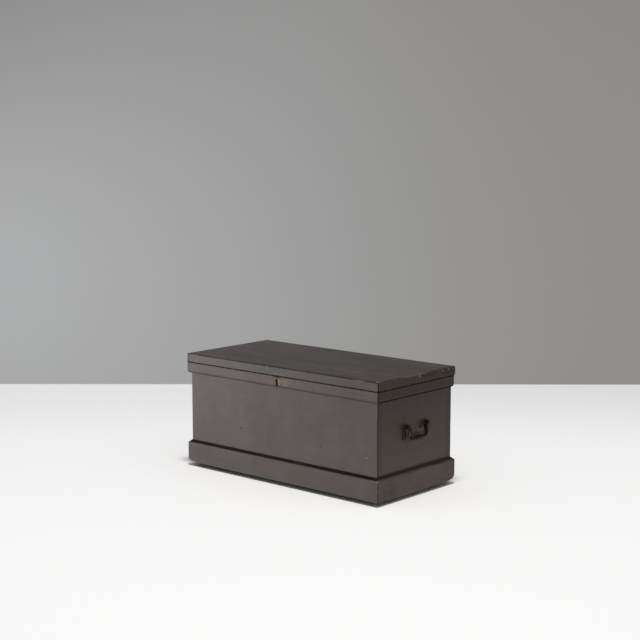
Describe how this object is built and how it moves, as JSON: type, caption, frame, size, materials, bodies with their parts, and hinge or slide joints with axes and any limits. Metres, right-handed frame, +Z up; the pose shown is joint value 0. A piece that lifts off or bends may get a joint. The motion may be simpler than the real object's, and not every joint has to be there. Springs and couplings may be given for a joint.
{
  "type": "blanket chest",
  "caption": "Long low painted pine storage chest with a plinth, a moulded rim, a hinged flat lid, a chest lock and drop handles on the ends.",
  "frame": {"origin": "on the floor under the middle of the chest", "axes": "+X along the chest to its right end, -Y to the front, +Z up"},
  "size_m": [0.9756, 0.456, 0.443],
  "materials": {
    "painted_pine": "worn matt grey-brown paint over pine",
    "bare_pine": "bare aged pine",
    "forged_iron": "old paint and rust",
    "hinge_iron": "dark iron",
    "lock_iron": "dull iron",
    "nail_iron": "dark iron under paint",
    "brass": "dull brass"
  },
  "bodies": {
    "chest": {"back_bearer": "bare_pine", "back_board": "painted_pine", "bearer_nails": "nail_iron", "floor_board_1": "bare_pine", "floor_board_2": "bare_pine", "floor_board_3": "bare_pine", "floor_board_4": "bare_pine", "floor_board_5": "bare_pine", "floor_nails": "nail_iron", "front_bearer": "bare_pine", "front_board": "painted_pine", "hinge_body_screws": "hinge_iron", "keyhole_escutcheon": "brass", "left_end_board": "painted_pine", "left_handle_back_bracket": "forged_iron", "left_handle_front_bracket": "forged_iron", "left_handle_screws": "forged_iron", "left_hinge_body_leaf": "hinge_iron", "left_hinge_pin": "hinge_iron", "lock_backplate": "lock_iron", "lock_bolt_spring": "lock_iron", "lock_cap": "lock_iron", "lock_key_post": "lock_iron", "lock_screws": "lock_iron", "plinth_back": "painted_pine", "plinth_front": "painted_pine", "plinth_left": "painted_pine", "plinth_nails": "nail_iron", "plinth_right": "painted_pine", "right_end_board": "painted_pine", "right_handle_back_bracket": "forged_iron", "right_handle_front_bracket": "forged_iron", "right_handle_screws": "forged_iron", "right_hinge_body_leaf": "hinge_iron", "right_hinge_pin": "hinge_iron", "rim_moulding_front": "painted_pine", "rim_moulding_left": "painted_pine", "rim_moulding_nails": "nail_iron", "rim_moulding_right": "painted_pine"},
    "lid": {"batten_nails": "nail_iron", "hinge_lid_screws": "hinge_iron", "left_hinge_lid_leaf": "hinge_iron", "left_lid_batten": "bare_pine", "lid_back_plank": "painted_pine", "lid_edge_front": "painted_pine", "lid_edge_left": "painted_pine", "lid_edge_nails": "nail_iron", "lid_edge_right": "painted_pine", "lid_front_plank": "painted_pine", "lid_link_plate": "lock_iron", "link_plate_screws": "lock_iron", "right_hinge_lid_leaf": "hinge_iron", "right_lid_batten": "bare_pine"},
    "lock_bolt": {"lock_bolt": "lock_iron"},
    "left_bail": {"left_bail_handle": "forged_iron"},
    "right_bail": {"right_bail_handle": "forged_iron"}
  },
  "joints": [
    {"name": "lid_hinge", "type": "hinge", "parent": "chest", "child": "lid", "pos_m": [0, 0.2162, 0.42085], "axis": [-1, 0, 0], "range_deg": [0, 100]},
    {"name": "right_bail_pivot", "type": "hinge", "parent": "chest", "child": "right_bail", "pos_m": [0.476, 0, 0.26], "axis": [0, -1, 0], "range_deg": [-8, 180]},
    {"name": "left_bail_pivot", "type": "hinge", "parent": "chest", "child": "left_bail", "pos_m": [-0.476, 0, 0.26], "axis": [0, 1, 0], "range_deg": [-8, 180]},
    {"name": "lock_bolt_slide", "type": "slide", "parent": "chest", "child": "lock_bolt", "axis": [1, 0, 0], "range_m": [0, 0.008]}
  ]
}
